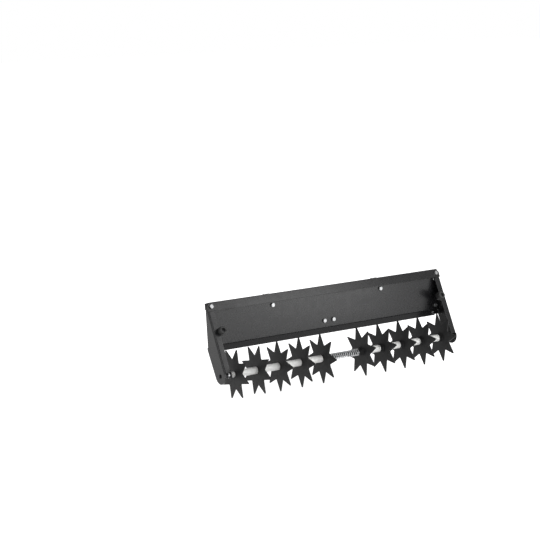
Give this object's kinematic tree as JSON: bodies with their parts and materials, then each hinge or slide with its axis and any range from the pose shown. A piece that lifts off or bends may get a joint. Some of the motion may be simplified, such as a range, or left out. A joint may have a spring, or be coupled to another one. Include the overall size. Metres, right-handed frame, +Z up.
{
  "type": "spike aerator module",
  "caption": "Spike aerator module: star wheels turn on a sprung axle under a folded steel panel, which hangs on a carrier by two hooks.",
  "frame": {"origin": "midway between the seats of the two hanger hooks, at the centre of the carrier rail's top face", "axes": "+X along the axle to the right-hand end seen from the front, +Y to the rear where the carrier is, +Z up"},
  "size_m": [1, 0.2132, 0.3171],
  "materials": {
    "powder_coat": "dark grey textured powder coat",
    "star_steel": "black coated steel plate",
    "zinc_plate": "bright zinc plate",
    "black_zinc": "black zinc plated screw",
    "bright_steel": "drawn and zinc plated bar",
    "spring_steel": "zinc plated spring wire",
    "white_plastic": "extruded natural white tube",
    "black_plastic": "moulded, matt",
    "rubber": "moulded, matt"
  },
  "bodies": {
    "housing": {"main_panel": "powder_coat", "left_end_plate": "powder_coat", "right_end_plate": "powder_coat", "axle_shaft": "bright_steel", "latch_bracket": "powder_coat", "compression_spring": "spring_steel", "hanger_hook_left": "powder_coat", "stop_washer_left": "black_plastic", "plate_bush_left": "black_plastic", "rubber_buffer_left": "rubber", "hanger_hook_right": "powder_coat", "stop_washer_right": "black_plastic", "plate_bush_right": "black_plastic", "rubber_buffer_right": "rubber", "corner_bolt_left": "zinc_plate", "corner_nut_left": "zinc_plate", "hook_bolt_left": "zinc_plate", "hook_nut_left": "zinc_plate", "latch_bolt_left": "zinc_plate", "latch_nut_left": "zinc_plate", "lip_screw_left": "zinc_plate", "buffer_screw_left": "black_zinc", "roll_pin_left": "zinc_plate", "corner_bolt_right": "zinc_plate", "corner_nut_right": "zinc_plate", "hook_bolt_right": "zinc_plate", "hook_nut_right": "zinc_plate", "latch_bolt_right": "zinc_plate", "latch_nut_right": "zinc_plate", "lip_screw_right": "zinc_plate", "buffer_screw_right": "black_zinc", "roll_pin_right": "zinc_plate", "tab_bolt_left_lower": "zinc_plate", "tab_bolt_left_upper": "zinc_plate", "tab_bolt_right_lower": "zinc_plate", "tab_bolt_right_upper": "zinc_plate"},
    "left_stack": {"spacer_tube_1": "white_plastic", "spacer_tube_2": "white_plastic", "spacer_tube_3": "white_plastic", "spacer_tube_4": "white_plastic", "end_spacer_left": "white_plastic", "spring_seat_left": "black_plastic"},
    "right_stack": {"spacer_tube_5": "white_plastic", "spacer_tube_6": "white_plastic", "spacer_tube_7": "white_plastic", "spacer_tube_8": "white_plastic", "end_spacer_right": "white_plastic", "spring_seat_right": "black_plastic"},
    "star_1": {"star_wheel_1": "star_steel"},
    "star_2": {"star_wheel_2": "star_steel"},
    "star_3": {"star_wheel_3": "star_steel"},
    "star_4": {"star_wheel_4": "star_steel"},
    "star_5": {"star_wheel_5": "star_steel"},
    "star_6": {"star_wheel_6": "star_steel"},
    "star_7": {"star_wheel_7": "star_steel"},
    "star_8": {"star_wheel_8": "star_steel"},
    "star_9": {"star_wheel_9": "star_steel"},
    "star_10": {"star_wheel_10": "star_steel"}
  },
  "joints": [
    {"name": "left_stack_slide", "type": "slide", "parent": "housing", "child": "left_stack", "axis": [1, 0, 0], "range_m": [0, 0.02], "stiffness_N_per_m": 5000, "springref_m": -0.02, "deforming": ["compression_spring"]},
    {"name": "right_stack_slide", "type": "slide", "parent": "housing", "child": "right_stack", "axis": [-1, 0, 0], "range_m": [0, 0.02], "stiffness_N_per_m": 5000, "springref_m": -0.02, "deforming": ["compression_spring"]},
    {"name": "star_1_spin", "type": "hinge", "parent": "left_stack", "child": "star_1", "pos_m": [-0.4455, -0.10834, -0.21999], "axis": [1, 0, 0], "continuous": true},
    {"name": "star_2_spin", "type": "hinge", "parent": "left_stack", "child": "star_2", "pos_m": [-0.3555, -0.10834, -0.21999], "axis": [1, 0, 0], "continuous": true},
    {"name": "star_3_spin", "type": "hinge", "parent": "left_stack", "child": "star_3", "pos_m": [-0.2655, -0.10834, -0.21999], "axis": [1, 0, 0], "continuous": true},
    {"name": "star_4_spin", "type": "hinge", "parent": "left_stack", "child": "star_4", "pos_m": [-0.1755, -0.10834, -0.21999], "axis": [1, 0, 0], "continuous": true},
    {"name": "star_5_spin", "type": "hinge", "parent": "left_stack", "child": "star_5", "pos_m": [-0.0855, -0.10834, -0.21999], "axis": [1, 0, 0], "continuous": true},
    {"name": "star_6_spin", "type": "hinge", "parent": "right_stack", "child": "star_6", "pos_m": [0.0855, -0.10834, -0.21999], "axis": [1, 0, 0], "continuous": true},
    {"name": "star_7_spin", "type": "hinge", "parent": "right_stack", "child": "star_7", "pos_m": [0.1755, -0.10834, -0.21999], "axis": [1, 0, 0], "continuous": true},
    {"name": "star_8_spin", "type": "hinge", "parent": "right_stack", "child": "star_8", "pos_m": [0.2655, -0.10834, -0.21999], "axis": [1, 0, 0], "continuous": true},
    {"name": "star_9_spin", "type": "hinge", "parent": "right_stack", "child": "star_9", "pos_m": [0.3555, -0.10834, -0.21999], "axis": [1, 0, 0], "continuous": true},
    {"name": "star_10_spin", "type": "hinge", "parent": "right_stack", "child": "star_10", "pos_m": [0.4455, -0.10834, -0.21999], "axis": [1, 0, 0], "continuous": true}
  ]
}
